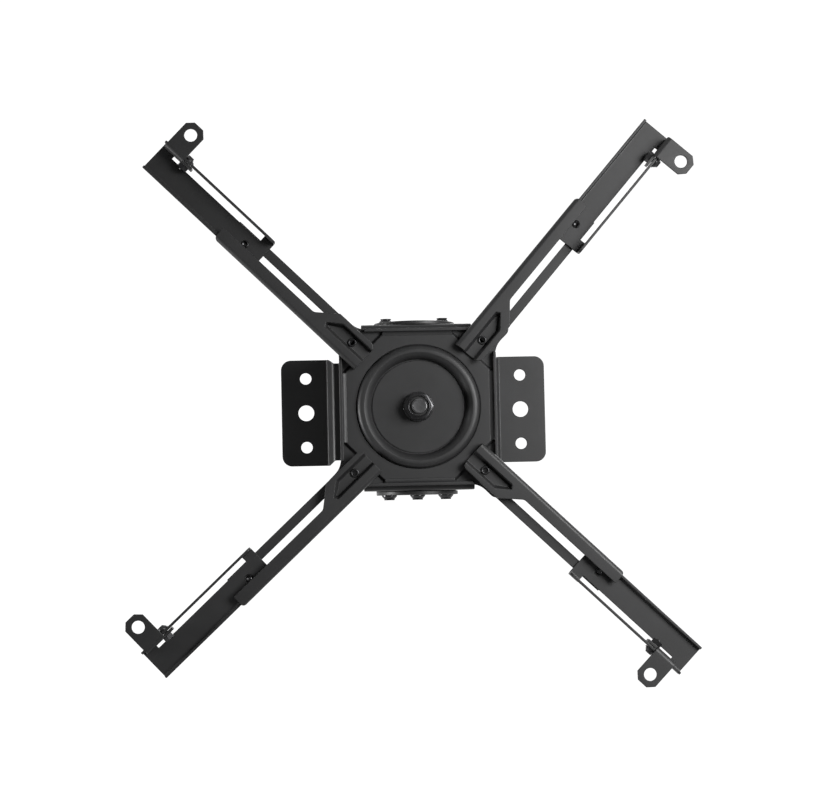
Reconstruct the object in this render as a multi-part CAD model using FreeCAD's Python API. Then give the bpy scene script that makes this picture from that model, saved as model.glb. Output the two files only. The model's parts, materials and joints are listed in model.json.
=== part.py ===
import FreeCAD, Part
import math
import os

V = FreeCAD.Vector

# Projector ceiling mount, millimetres, +Z up. The origin is the middle of the ceiling face of
# the ceiling bracket. X runs along the row of its two flanges and Y along the tilt axis.
# Angles are in degrees about +Z, from +X towards +Y.

# Sheets, their bends and the clearances between pieces
bracket_sheet = 2.5
plate_sheet = 2.0
arm_sheet = 1.8
lug_sheet = 2.0
bend_radius = 1.2
slide_gap = 0.2
edge_gap = 0.8
cheek_gap = 0.3
pocket_gap = 0.4
slot_gap = 0.3
running_gap = 0.1
bolt_gap = 0.2
thread_gap = 0.05
past = 2.0

# Ceiling bracket
ceiling_hole_spacing = 150.0
ceiling_hole_pitch = 24.0
small_hole_radius = 4.0
large_hole_radius = 5.5
flange_reach = 92.2
flange_length = 74.0
flange_corner = 7.0
shoulder_half_width = 59.0
web_half_width = 55.5
web_length = 67.4
hat_drop = 15.0
cheek_spacing = 117.4
cheek_width = 55.0

# Tilt cradle and its hardware
pivot_drop = 35.0
cradle_reach = 29.0
cradle_width = 74.0
cradle_crown_width = 52.0
cradle_crown = 9.0
cradle_corner = 5.0
tilt_limit = 15.0
tilt_slot_margin = 1.6
clamp_spacing = 38.6
tilt_bolt_radius = 3.0
tilt_head_radius = 5.2
tilt_head_height = 3.3
tilt_socket = 4.0
tilt_nut_flats = 10.0
tilt_nut_height = 6.0
tilt_washer_radius = 6.0
tilt_washer_thickness = 1.6
tilt_bolt_tip = 1.0
pivot_stud_radius = 5.0

# Swivel
swivel_bolt_radius = 5.0
swivel_head_radius = 11.5
swivel_head_height = 5.0
swivel_bolt_tip = 1.6
swivel_nut_flats = 17.0
swivel_nut_height = 10.0
swivel_washer_radius = 10.0
swivel_washer_thickness = 2.0
friction_disc_radius = 29.0
friction_disc_thickness = 2.0

# Spider plate
plate_side = 105.0
plate_border = 3.0
plate_root_radius = 14.0
field_rise = 2.5
field_draft = 1.6
chamfer_gap = 9.2
bead_outer_radius = 41.7
bead_rise = 4.0
bead_crest = 1.5
bead_sag = 0.3
disc_radius = 31.7
ear_half_width = 9.0
ear_reach = 20.0
ear_corner = 5.4
corner_spacing = 87.0

# Inner arms. Lateral sizes are measured from the wide edge of the arm.
arm_width = 20.6
arm_height = 10.0
lip_width = 9.4
pivot_lateral = 12.2
plate_tail = 13.5
tail_corner = 4.0
web_tail = 7.0
wall_rake = 3.0
web_reach = 110.0
lip_reach = 114.3
lip_corner = 2.5
shoulder_start = 18.3
shoulder_end = 32.3
shoulder_radius = 4.0
inner_slot_width = 5.6
inner_slot_lateral = 11.3
inner_slot_start = 23.5
inner_slot_end = 104.5
pocket_half_width = 5.0
pocket_draft = 1.8
pocket_skin = 1.1
pocket_tip = 21.6
pocket_tip_lateral = 2.2
pocket_shoulder = 12.4
pocket_front = 20.0

# Corner rivets
corner_rivet_radius = 2.5
rivet_bore_radius = 1.5
rivet_head_radius = 5.5
rivet_head_height = 1.2
rivet_flare_radius = 3.0
rivet_flare_height = 1.0
spacer_radius = 6.0

# Outer arms and their slide screws
outer_start = 86.0
outer_tail = 10.8
outer_width = 23.8
outer_web_width = 17.9
outer_flange_depth = 12.0
outer_corner = 3.0
slide_screw_reach = 100.6
slide_screw_radius = 2.5
slide_screw_tip = 1.0
slide_head_radius = 4.6
slide_head_height = 2.8
slide_socket = 3.0
slide_washer_radius = 6.0
slide_washer_thickness = 1.2
side_slot_start = 94.5
side_slot_tail = 10.1

# Lugs and their hardware
lug_reach = 174.3
lug_width = 16.0
lug_hole_lateral = 38.9
lug_hole_radius = 4.25
lug_tip = 8.1
lug_tip_chamfer = 4.2
lug_bolt_back = 9.5
lug_leg_margin = 6.0
lug_bolt_edge = 1.8
lug_bolt_radius = 2.0
lug_bolt_tip = 0.6
lug_head_radius = 3.8
lug_head_height = 2.6
lug_socket = 2.5
lug_washer_radius = 4.5
lug_washer_thickness = 0.8
lug_nut_flats = 7.0
lug_nut_height = 3.2

# Heading of each arm, and how far its outer arm and its lug stand out from their middle places
arm_headings = {
    "front_left": 224.2,
    "front_right": 310.6,
    "rear_left": 136.9,
    "rear_right": 43.6,
}
outer_slides = {
    "front_left": -3.3,
    "front_right": 0.2,
    "rear_left": -2.0,
    "rear_right": 1.2,
}
lug_slides = {
    "front_left": -2.8,
    "front_right": 2.0,
    "rear_left": -2.2,
    "rear_right": -3.4,
}

# Heights that follow, from the ceiling down. Far is the side towards the ceiling.
web_near = -hat_drop
pivot_z = -pivot_drop
cradle_far = pivot_z - cradle_reach
cradle_near = cradle_far - bracket_sheet
base_far = cradle_near - friction_disc_thickness
base_near = base_far - plate_sheet
field_near = base_near - field_rise
crest_near = field_near - bead_rise
arm_far = base_near
arm_web_near = arm_far - arm_sheet
lip_near = arm_far - arm_height
lip_far = lip_near + arm_sheet
pocket_far = field_near - pocket_gap
pocket_near = pocket_far - arm_sheet
outer_far = arm_web_near - slide_gap
outer_web_near = outer_far - arm_sheet
plain_flange_near = lip_far + edge_gap
slotted_flange_near = outer_far - outer_flange_depth
lug_far = slotted_flange_near - edge_gap
lug_near = lug_far - lug_sheet
lug_leg_top = outer_web_near - edge_gap
lug_bolt_z = lug_leg_top - lug_bolt_edge - lug_bolt_radius

# Lateral places that follow, in an arm's frame with its corner rivet at 0
wide_edge = -pivot_lateral
narrow_edge = wide_edge + arm_width
lip_edge = wide_edge + lip_width
inner_slot_y = wide_edge + inner_slot_lateral
outer_wide = wide_edge + arm_sheet + slide_gap
outer_narrow = outer_wide + outer_width
outer_web_edge = outer_wide + outer_web_width
lug_leg_outer = outer_narrow - arm_sheet - slide_gap
lug_leg_inner = lug_leg_outer - lug_sheet
lug_hole_y = wide_edge + lug_hole_lateral
lug_bolt_x = lug_reach - lug_bolt_back
outer_end = lug_reach + outer_tail
side_slot_end = outer_end - side_slot_tail
chamfer_reach = corner_spacing * math.sqrt(0.5) - chamfer_gap

# Distances along the tilt axis that follow
cradle_outer = cheek_spacing / 2 - bracket_sheet - cheek_gap
wall_stack = 2 * bracket_sheet + cheek_gap
tilt_bolt_length = wall_stack + tilt_washer_thickness + tilt_nut_height + tilt_bolt_tip


def on_xy(z):
    return lambda u, v: V(u, v, z)


def on_xz(y):
    return lambda u, v: V(u, y, v)


def on_yz(x):
    return lambda u, v: V(x, u, v)


def heading(a, b):
    length = math.dist(a, b)
    return ((b[0] - a[0]) / length, (b[1] - a[1]) / length)


def shifted(point, way, along, across):
    # Point moved along a direction and to its left
    return (point[0] + way[0] * along - way[1] * across, point[1] + way[1] * along + way[0] * across)


def rounding(before, corner, after, radius):
    # Both ends and the centre of the arc that rounds a corner
    way_in = heading(before, corner)
    way_out = heading(corner, after)
    cross = way_in[0] * way_out[1] - way_in[1] * way_out[0]
    turn = math.atan2(cross, way_in[0] * way_out[0] + way_in[1] * way_out[1])
    back = radius * math.tan(abs(turn) / 2)
    start = shifted(corner, way_in, -back, 0)
    end = shifted(corner, way_out, back, 0)
    return start, end, shifted(start, way_in, 0, math.copysign(radius, turn))


def line_edge(start, end, place):
    return Part.LineSegment(place(*start), place(*end)).toShape()


def arc_edge(start, end, centre, corner, place):
    middle = shifted(centre, heading(centre, corner), math.dist(centre, start), 0)
    return Part.Arc(place(*start), place(*middle), place(*end)).toShape()


def face_of(edges):
    return Part.Face(Part.Wire(Part.__sortEdges__(edges)))


def outline_face(corners, place):
    # Face inside a closed outline. Each corner is (u, v) or, where it is rounded, (u, v, radius).
    edges = []
    spans = []
    for i, corner in enumerate(corners):
        point = corner[:2]
        if len(corner) == 2:
            spans.append((point, point))
            continue
        after = corners[(i + 1) % len(corners)]
        start, end, centre = rounding(corners[i - 1][:2], point, after[:2], corner[2])
        edges.append(arc_edge(start, end, centre, point, place))
        spans.append((start, end))
    for i, span in enumerate(spans):
        start = spans[i - 1][1]
        if math.dist(start, span[0]) > 1e-6:
            edges.append(line_edge(start, span[0], place))
    return face_of(edges)


def slab(corners, low, high):
    # Plate with its outline in XY
    return outline_face(corners, on_xy(low)).extrude(V(0, 0, high - low))


def box(x, y, z):
    return Part.makeBox(x[1] - x[0], y[1] - y[0], z[1] - z[0], V(x[0], y[0], z[0]))


def sheet_side(path, bend, offset, place):
    # One face line of a folded sheet, at a signed offset from its centre line
    edges = []
    first = shifted(path[0], heading(path[0], path[1]), 0, offset)
    last = first
    for before, corner, after in zip(path, path[1:], path[2:]):
        start, end, centre = rounding(before, corner, after, bend)
        arc_start = shifted(start, heading(before, corner), 0, offset)
        arc_end = shifted(end, heading(corner, after), 0, offset)
        edges.append(line_edge(last, arc_start, place))
        edges.append(arc_edge(arc_start, arc_end, centre, corner, place))
        last = arc_end
    tip = shifted(path[-1], heading(path[-2], path[-1]), 0, offset)
    edges.append(line_edge(last, tip, place))
    return edges, first, tip


def folded_sheet(path, thickness, place, along):
    # Sheet folded along a centre line and extruded, every bend with the same inside radius
    half = thickness / 2
    bend = bend_radius + half
    left, left_start, left_end = sheet_side(path, bend, half, place)
    right, right_start, right_end = sheet_side(path, bend, -half, place)
    caps = [line_edge(left_start, right_start, place), line_edge(left_end, right_end, place)]
    return face_of(left + right + caps).extrude(along)


def rod(radius, start, direction, length):
    return Part.makeCylinder(radius, length, start, direction)


def hole_z(radius, x, y, low, high):
    return rod(radius, V(x, y, low - past), V(0, 0, 1), high - low + 2 * past)


def washer(outer, inner, thickness):
    return Part.makeCylinder(outer, thickness).cut(Part.makeCylinder(inner, thickness))


def hexagon(flats, height):
    reach = flats / math.sqrt(3)
    angles = [math.radians(60 * k) for k in range(7)]
    points = [V(reach * math.cos(a), reach * math.sin(a), 0) for a in angles]
    return Part.Face(Part.makePolygon(points)).extrude(V(0, 0, height))


def dome_head(radius, height):
    # Low dome standing on z = 0 and rising towards +Z
    ball = (radius * radius + height * height) / (2 * height)
    sphere = Part.makeSphere(ball, V(0, 0, height - ball))
    return sphere.common(Part.makeCylinder(radius, height))


def dome_bolt(radius, length, head_radius, head_height, socket):
    # Socket screw with its seat on z = 0 and its shank along -Z
    recess = hexagon(socket, head_height).translated(V(0, 0, head_height * 0.4))
    head = dome_head(head_radius, head_height).cut(recess)
    return head.fuse(Part.makeCylinder(radius, length, V(0, 0, -length)))


def lock_nut(flats, height, bore):
    # Hexagon nut with chamfered corners below a round collar, standing on z = 0
    collar = height * 0.3
    hex_height = height - collar
    corner = flats / math.sqrt(3)
    cone = Part.makeCone(corner + hex_height, flats * 0.48, hex_height * 2.4)
    body = hexagon(flats, hex_height).common(cone)
    body = body.fuse(Part.makeCylinder(flats * 0.42, collar, V(0, 0, hex_height)))
    return body.cut(Part.makeCylinder(bore + thread_gap, height))


def aimed(shape, position, axis):
    # Copy of a shape made along +Z that stands at position and points along axis
    turned = shape.copy()
    turned.Placement = FreeCAD.Placement(position, FreeCAD.Rotation(V(0, 0, 1), axis))
    return turned


def bracket_plan():
    # Ceiling bracket seen along Z: two flanges, their necks and the eight-sided web with the cheeks
    half_cheek = cheek_width / 2
    half_web = web_length / 2
    half_flange = flange_length / 2
    cheek_fold = cheek_spacing / 2 - bracket_sheet - bend_radius
    quarter = [
        (half_cheek, cheek_spacing),
        (half_cheek, cheek_fold),
        (half_cheek + cheek_fold - half_web, half_web),
        (web_half_width, half_web),
        (shoulder_half_width, half_flange),
        (flange_reach, half_flange, flange_corner),
    ]
    right = quarter + [(c[0], -c[1], *c[2:]) for c in reversed(quarter)]
    return right + [(-c[0], c[1], *c[2:]) for c in reversed(right)]


def tilt_slot(side):
    # Slot through both cheeks that lets a clamp bolt travel round the tilt axis
    radius = clamp_spacing / 2
    half = tilt_bolt_radius + slot_gap
    half_angle = math.radians(tilt_limit + tilt_slot_margin)
    start = -cheek_spacing / 2 - past
    along = V(0, cheek_spacing + 2 * past, 0)

    def at(r, angle):
        return V(side * r * math.cos(angle), start, pivot_z + r * math.sin(angle))

    edges = []
    for r in (radius - half, radius + half):
        edges.append(Part.Arc(at(r, -half_angle), at(r, 0), at(r, half_angle)).toShape())
    for angle in (-half_angle, half_angle):
        edges.append(Part.LineSegment(at(radius - half, angle), at(radius + half, angle)).toShape())
    body = face_of(edges).extrude(along)
    for angle in (-half_angle, half_angle):
        body = body.fuse(rod(half, at(radius, angle), along, along.Length))
    return body


def ceiling_bracket():
    # One cross-shaped blank: a hat section along X with a cheek folded down at each end of Y
    web_mid = web_near + bracket_sheet / 2
    flange_mid = -bracket_sheet / 2
    cheek_mid = (cheek_spacing - bracket_sheet) / 2
    cheek_tip = pivot_z - cheek_width / 2
    path = [
        (-flange_reach, flange_mid),
        (-shoulder_half_width, flange_mid),
        (-web_half_width, web_mid),
        (web_half_width, web_mid),
        (shoulder_half_width, flange_mid),
        (flange_reach, flange_mid),
    ]
    hat = folded_sheet(path, bracket_sheet, on_xz(-flange_length / 2), V(0, flange_length, 0))
    path = [(-cheek_mid, cheek_tip), (-cheek_mid, web_mid), (cheek_mid, web_mid), (cheek_mid, cheek_tip)]
    cheeks = folded_sheet(path, bracket_sheet, on_yz(-web_half_width), V(2 * web_half_width, 0, 0))
    plan = slab(bracket_plan(), cheek_tip, 0)
    body = hat.common(plan).fuse(cheeks.common(plan))
    half = cheek_width / 2
    profile = [
        (-half, cheek_tip, half),
        (half, cheek_tip, half),
        (half, web_near - past),
        (flange_reach, web_near - past),
        (flange_reach, 0),
        (-flange_reach, 0),
        (-flange_reach, web_near - past),
        (-half, web_near - past),
    ]
    body = body.common(outline_face(profile, on_xz(-cheek_spacing / 2)).extrude(V(0, cheek_spacing, 0)))
    for x in (-ceiling_hole_spacing / 2, ceiling_hole_spacing / 2):
        body = body.cut(hole_z(large_hole_radius, x, 0, -bracket_sheet, 0))
        for y in (-ceiling_hole_pitch, ceiling_hole_pitch):
            body = body.cut(hole_z(small_hole_radius, x, y, -bracket_sheet, 0))
    body = body.cut(tilt_slot(-1)).cut(tilt_slot(1))
    body = body.cut(rod(tilt_bolt_radius + running_gap, V(0, 0, pivot_z), V(0, 1, 0), cheek_spacing))
    body = body.cut(rod(pivot_stud_radius + running_gap, V(0, 0, pivot_z), V(0, -1, 0), cheek_spacing))
    return body.removeSplitter()


def tilt_cradle():
    mid = cradle_outer - bracket_sheet / 2
    web_mid = cradle_far - bracket_sheet / 2
    crown = pivot_z + cradle_crown
    half = cradle_width / 2
    top = cradle_crown_width / 2
    path = [(-mid, crown), (-mid, web_mid), (mid, web_mid), (mid, crown)]
    body = folded_sheet(path, bracket_sheet, on_yz(-half), V(cradle_width, 0, 0))
    profile = [
        (-half, cradle_near),
        (half, cradle_near),
        (half, cradle_far + half - top, cradle_corner),
        (top, pivot_z, cradle_corner),
        (top, crown, cradle_corner),
        (-top, crown, cradle_corner),
        (-top, pivot_z, cradle_corner),
        (-half, cradle_far + half - top, cradle_corner),
    ]
    body = body.common(outline_face(profile, on_xz(-cradle_outer)).extrude(V(0, 2 * cradle_outer, 0)))
    for x in (-clamp_spacing / 2, 0, clamp_spacing / 2):
        start = V(x, -cradle_outer, pivot_z)
        body = body.cut(rod(tilt_bolt_radius + bolt_gap, start, V(0, 1, 0), 2 * cradle_outer))
    return body.cut(hole_z(swivel_bolt_radius + bolt_gap, 0, 0, cradle_near, cradle_far)).removeSplitter()


def cheek_place(side, x):
    # Point on the outside of a cheek at the height of the tilt axis, and the direction inwards
    return V(x, side * cheek_spacing / 2, pivot_z), V(0, -side, 0)


def clamp_places():
    return [cheek_place(side, x) for side in (-1, 1) for x in (-clamp_spacing / 2, clamp_spacing / 2)]


def tilt_bolt(position, inward):
    bolt = dome_bolt(tilt_bolt_radius, tilt_bolt_length, tilt_head_radius, tilt_head_height, tilt_socket)
    return aimed(bolt, position, inward * -1)


def tilt_washer(position, inward):
    shape = washer(tilt_washer_radius, tilt_bolt_radius + bolt_gap, tilt_washer_thickness)
    return aimed(shape, position + inward * wall_stack, inward)


def tilt_nut(position, inward):
    shape = lock_nut(tilt_nut_flats, tilt_nut_height, tilt_bolt_radius)
    return aimed(shape, position + inward * (wall_stack + tilt_washer_thickness), inward)


def tilt_pivot_stud(position, inward):
    # Flush shouldered stud that the front cheek turns on
    shoulder = bracket_sheet + cheek_gap
    shank = rod(tilt_bolt_radius, position, inward, tilt_bolt_length)
    return shank.fuse(rod(pivot_stud_radius, position, inward, shoulder))


def swivel_bolt():
    # Round-headed bolt down through the cradle web, the friction disc, the spider plate and the nut
    length = cradle_far - base_near + swivel_washer_thickness + swivel_nut_height + swivel_bolt_tip
    shank = Part.makeCylinder(swivel_bolt_radius, length, V(0, 0, -length))
    body = dome_head(swivel_head_radius, swivel_head_height).fuse(shank)
    return body.translated(V(0, 0, cradle_far))


def swivel_washer():
    shape = washer(swivel_washer_radius, swivel_bolt_radius + bolt_gap, swivel_washer_thickness)
    return aimed(shape, V(0, 0, base_near), V(0, 0, -1))


def swivel_nut():
    shape = lock_nut(swivel_nut_flats, swivel_nut_height, swivel_bolt_radius)
    return aimed(shape, V(0, 0, base_near - swivel_washer_thickness), V(0, 0, -1))


def friction_disc():
    shape = washer(friction_disc_radius, swivel_bolt_radius + bolt_gap, friction_disc_thickness)
    return shape.translated(V(0, 0, base_far))


def four_turns(corners):
    # One quarter of an outline repeated round Z
    outline = []
    for cosine, sine in ((1, 0), (0, 1), (-1, 0), (0, -1)):
        outline += [(c[0] * cosine - c[1] * sine, c[0] * sine + c[1] * cosine, *c[2:]) for c in corners]
    return outline


def spider_outline():
    # Square with an ear on each corner
    half = plate_side / 2
    root = half - ear_half_width * math.sqrt(2)
    tip = corner_spacing / 2 + ear_reach / math.sqrt(2)
    side = ear_half_width / math.sqrt(2)
    return four_turns([
        (half, root, plate_root_radius),
        (tip + side, tip - side, ear_corner),
        (tip - side, tip + side, ear_corner),
        (root, half, plate_root_radius),
    ])


def field_wire(inset, z):
    # Raised field: a square whose corners are cut off across the arms
    half = plate_side / 2 - plate_border - inset
    cut = (chamfer_reach - inset) * math.sqrt(2) - half
    points = [V(x, y, z) for x, y in four_turns([(half, cut), (cut, half)])]
    return Part.makePolygon(points + points[:1])


def bead_profile(join_radius):
    # Half section of the swivel seat: sunk disc, slope up to the bead's crest, round outer side
    place = on_xz(0)
    crest = bead_outer_radius - bead_rise
    brow = crest - bead_crest
    inner_rise = bead_rise - plate_sheet
    diagonal = math.sqrt(0.5)
    bore = swivel_bolt_radius + bolt_gap
    slope_x = (3 * disc_radius + brow) / 4
    slope_z = (crest_near + base_near) / 2 - bead_sag
    edges = []
    for rise in (bead_rise, inner_rise):
        start = place(crest + rise, field_near)
        middle = place(crest + rise * diagonal, field_near - rise * diagonal)
        edges.append(Part.Arc(start, middle, place(crest, field_near - rise)).toShape())
    near_slope = Part.Arc(place(brow, crest_near), place(slope_x, slope_z), place(disc_radius, base_near))
    far_slope = Part.Arc(place(brow, crest_near + plate_sheet),
                         place(slope_x + plate_sheet, slope_z + bead_sag),
                         place(disc_radius + plate_sheet, base_near))
    edges += [near_slope.toShape(), far_slope.toShape()]
    lines = [
        ((join_radius, field_near), (bead_outer_radius, field_near)),
        ((crest, crest_near), (brow, crest_near)),
        ((disc_radius, base_near), (bore, base_near)),
        ((bore, base_near), (bore, base_far)),
        ((bore, base_far), (disc_radius + plate_sheet, base_far)),
        ((disc_radius + plate_sheet, base_far), (disc_radius + plate_sheet, base_near)),
        ((brow, crest_near + plate_sheet), (crest, crest_near + plate_sheet)),
        ((crest + inner_rise, field_near), (crest + inner_rise, field_near + plate_sheet)),
        ((crest + inner_rise, field_near + plate_sheet), (join_radius, field_near + plate_sheet)),
        ((join_radius, field_near + plate_sheet), (join_radius, field_near)),
    ]
    edges += [line_edge(start, end, place) for start, end in lines]
    return face_of(edges)


def spider_plate():
    # Pressed plate: the field is embossed by the same shape moved through the sheet
    join_radius = bead_outer_radius + bend_radius
    body = slab(spider_outline(), base_near, base_far)
    raised = Part.makeLoft([field_wire(0, base_near), field_wire(field_draft, field_near)], True)
    body = body.fuse(raised).cut(raised.translated(V(0, 0, plate_sheet)))
    body = body.cut(hole_z(join_radius, 0, 0, crest_near, base_far))
    body = body.fuse(bead_profile(join_radius).revolve(V(0, 0, 0), V(0, 0, 1), 360))
    for x in (-corner_spacing / 2, corner_spacing / 2):
        for y in (-corner_spacing / 2, corner_spacing / 2):
            body = body.cut(hole_z(corner_rivet_radius + running_gap, x, y, base_near, base_far))
    return body.removeSplitter()


def pocket_wire(margin, z):
    # Pencil-pointed outline of the pocket, open at the hub end of the arm
    half = pocket_half_width + margin
    tail = plate_tail + past
    outline = [
        (-tail, -half),
        (pocket_front + margin, -half),
        (pocket_tip + margin, -pocket_tip_lateral),
        (pocket_shoulder + margin, half),
        (-tail, half),
    ]
    points = [V(x, y, z) for x, y in outline]
    return Part.makePolygon(points + points[:1])


def pressed_pocket():
    # Trough pressed up from the end plate of the arm, and the space inside it
    trough = [pocket_wire(pocket_skin, lip_far), pocket_wire(pocket_skin - pocket_draft, pocket_far)]
    space = [pocket_wire(0, lip_near), pocket_wire(-pocket_draft, pocket_near)]
    return Part.makeLoft(trough, True), Part.makeLoft(space, True)


def inner_slot():
    half = inner_slot_width / 2
    low = inner_slot_y - half
    high = inner_slot_y + half
    ends = [
        (inner_slot_start, low, half),
        (inner_slot_end, low, half),
        (inner_slot_end, high, half),
        (inner_slot_start, high, half),
    ]
    return slab(ends, arm_web_near - past, arm_far + past)


def inner_arm():
    # Folded channel: slotted web, side wall and a lip that widens to a full end plate at the hub
    web_mid = arm_far - arm_sheet / 2
    lip_mid = lip_near + arm_sheet / 2
    wall_mid = wide_edge + arm_sheet / 2
    path = [(narrow_edge, web_mid), (wall_mid, web_mid), (wall_mid, lip_mid), (narrow_edge, lip_mid)]
    body = folded_sheet(path, arm_sheet, on_yz(-plate_tail), V(plate_tail + lip_reach, 0, 0))
    trough, space = pressed_pocket()
    body = body.fuse(trough).cut(space)
    plan = [
        (-plate_tail, wide_edge),
        (lip_reach, wide_edge, lip_corner),
        (lip_reach, narrow_edge),
        (-plate_tail, narrow_edge, tail_corner),
    ]
    body = body.common(slab(plan, lip_near, arm_far))
    beside_lip = [
        (shoulder_start, narrow_edge + past),
        (shoulder_start, narrow_edge, shoulder_radius),
        (shoulder_end, lip_edge, shoulder_radius),
        (lip_reach + past, lip_edge),
        (lip_reach + past, narrow_edge + past),
    ]
    body = body.cut(slab(beside_lip, lip_near - past, lip_far + bend_radius))
    body = body.cut(box((web_reach, lip_reach + past), (wide_edge + arm_sheet, narrow_edge + past),
                        (arm_web_near - bend_radius, arm_far + past)))
    over_field = [
        (-plate_tail - past, arm_far + past),
        (-web_tail, arm_far + past),
        (-web_tail, arm_web_near),
        (-web_tail - wall_rake, pocket_far),
        (-plate_tail - past, pocket_far),
    ]
    body = body.cut(outline_face(over_field, on_xz(wide_edge - past)).extrude(V(0, arm_width + 2 * past, 0)))
    body = body.cut(inner_slot())
    return body.cut(hole_z(corner_rivet_radius + thread_gap, 0, 0, lip_near, arm_far)).removeSplitter()


def corner_rivet():
    # Tubular rivet: low head on the ear, rolled end in the pocket
    tip = pocket_near - rivet_flare_height
    head = dome_head(rivet_head_radius, rivet_head_height).translated(V(0, 0, base_far))
    shank = rod(corner_rivet_radius, V(0, 0, pocket_near), V(0, 0, 1), base_far - pocket_near)
    flare = aimed(dome_head(rivet_flare_radius, rivet_flare_height), V(0, 0, pocket_near), V(0, 0, -1))
    bore = rod(rivet_bore_radius, V(0, 0, tip), V(0, 0, 1), rivet_flare_height + arm_sheet)
    return head.fuse(shank).fuse(flare).cut(bore).removeSplitter()


def corner_spacer():
    shape = washer(spacer_radius, corner_rivet_radius + thread_gap, arm_web_near - pocket_far)
    return shape.translated(V(0, 0, pocket_far))


def outer_arm():
    # Channel with one plain flange and one deep flange, its fold cut away for the lug bolt
    web_mid = outer_far - arm_sheet / 2
    wide_mid = outer_wide + arm_sheet / 2
    narrow_mid = outer_narrow - arm_sheet / 2
    path = [
        (wide_mid, plain_flange_near),
        (wide_mid, web_mid),
        (narrow_mid, web_mid),
        (narrow_mid, slotted_flange_near),
    ]
    body = folded_sheet(path, arm_sheet, on_yz(outer_start), V(outer_end - outer_start, 0, 0))
    profile = [
        (outer_start, outer_far),
        (outer_end, outer_far),
        (outer_end, slotted_flange_near, outer_corner),
        (outer_start, slotted_flange_near, outer_corner),
    ]
    body = body.common(outline_face(profile, on_xz(outer_wide)).extrude(V(0, outer_width, 0)))
    slot_near = lug_bolt_z - lug_bolt_radius - slot_gap
    body = body.cut(box((side_slot_start, side_slot_end), (outer_web_edge, outer_narrow + past),
                        (slot_near, outer_far + past)))
    tapped = slide_screw_radius + thread_gap
    body = body.cut(hole_z(tapped, slide_screw_reach, inner_slot_y, outer_web_near, outer_far))
    return body.removeSplitter()


def slide_screw():
    # Screw from above, through the inner arm's slot and tapped into the outer arm
    seat = arm_far + slide_washer_thickness
    length = seat - outer_web_near + slide_screw_tip
    bolt = dome_bolt(slide_screw_radius, length, slide_head_radius, slide_head_height, slide_socket)
    return bolt.translated(V(slide_screw_reach, inner_slot_y, seat))


def slide_washer():
    shape = washer(slide_washer_radius, slide_screw_radius + bolt_gap, slide_washer_thickness)
    return shape.translated(V(slide_screw_reach, inner_slot_y, arm_far))


def lug():
    # Angle piece: a leg inside the deep flange and a tongue with the hole for the projector screw
    leg_mid = lug_leg_outer - lug_sheet / 2
    tongue_mid = lug_far - lug_sheet / 2
    tip = lug_hole_y + lug_tip
    low = lug_reach - lug_width / 2
    high = lug_reach + lug_width / 2
    back = lug_bolt_x - lug_leg_margin
    path = [(leg_mid, lug_leg_top), (leg_mid, tongue_mid), (tip, tongue_mid)]
    body = folded_sheet(path, lug_sheet, on_yz(back), V(high - back, 0, 0))
    tongue = slab([
        (low, lug_leg_inner),
        (high, lug_leg_inner),
        (high, tip - lug_tip_chamfer),
        (high - lug_tip_chamfer, tip),
        (low + lug_tip_chamfer, tip),
        (low, tip - lug_tip_chamfer),
    ], lug_near, lug_leg_top)
    leg = box((back, low), (lug_leg_inner, lug_leg_outer), (lug_far + bend_radius, lug_leg_top))
    body = body.common(tongue.fuse(leg))
    body = body.cut(hole_z(lug_hole_radius, lug_reach, lug_hole_y, lug_near, lug_far))
    bolt_start = V(lug_bolt_x, lug_leg_inner, lug_bolt_z)
    return body.cut(rod(lug_bolt_radius + bolt_gap, bolt_start, V(0, 1, 0), lug_sheet)).removeSplitter()


def lug_bolt():
    clamped = lug_washer_thickness + arm_sheet + slide_gap + lug_sheet
    length = clamped + lug_nut_height + lug_bolt_tip
    bolt = dome_bolt(lug_bolt_radius, length, lug_head_radius, lug_head_height, lug_socket)
    return aimed(bolt, V(lug_bolt_x, outer_narrow + lug_washer_thickness, lug_bolt_z), V(0, 1, 0))


def lug_washer():
    shape = washer(lug_washer_radius, lug_bolt_radius + bolt_gap, lug_washer_thickness)
    return aimed(shape, V(lug_bolt_x, outer_narrow, lug_bolt_z), V(0, 1, 0))


def lug_nut():
    bore = Part.makeCylinder(lug_bolt_radius + thread_gap, lug_nut_height)
    nut = hexagon(lug_nut_flats, lug_nut_height).cut(bore)
    return aimed(nut, V(lug_bolt_x, lug_leg_inner, lug_bolt_z), V(0, -1, 0))


def on_arm(shape, name, slide):
    # Copy of a shape slid along an arm and moved to that arm's corner of the spider plate
    half = corner_spacing / 2
    x = half if name.endswith("right") else -half
    y = half if name.startswith("rear") else -half
    turn = FreeCAD.Rotation(V(0, 0, 1), arm_headings[name])
    moved = shape.translated(V(slide, 0, 0))
    moved.Placement = FreeCAD.Placement(V(x, y, 0), turn).multiply(moved.Placement)
    return moved


def hub_parts():
    clamps = clamp_places()
    front = cheek_place(-1, 0)
    rear = cheek_place(1, 0)
    return {
        "ceiling_bracket": ceiling_bracket(),
        "tilt_cradle": tilt_cradle(),
        "tilt_clamp_bolts": Part.makeCompound([tilt_bolt(*place) for place in clamps]),
        "tilt_clamp_washers": Part.makeCompound([tilt_washer(*place) for place in clamps]),
        "tilt_clamp_nuts": Part.makeCompound([tilt_nut(*place) for place in clamps]),
        "tilt_pivot_bolt": tilt_bolt(*rear),
        "tilt_pivot_stud": tilt_pivot_stud(*front),
        "tilt_pivot_washers": Part.makeCompound([tilt_washer(*rear), tilt_washer(*front)]),
        "tilt_pivot_nuts": Part.makeCompound([tilt_nut(*rear), tilt_nut(*front)]),
        "friction_disc": friction_disc(),
        "swivel_bolt": swivel_bolt(),
        "swivel_washer": swivel_washer(),
        "swivel_nut": swivel_nut(),
        "spider_plate": spider_plate(),
    }


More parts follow.
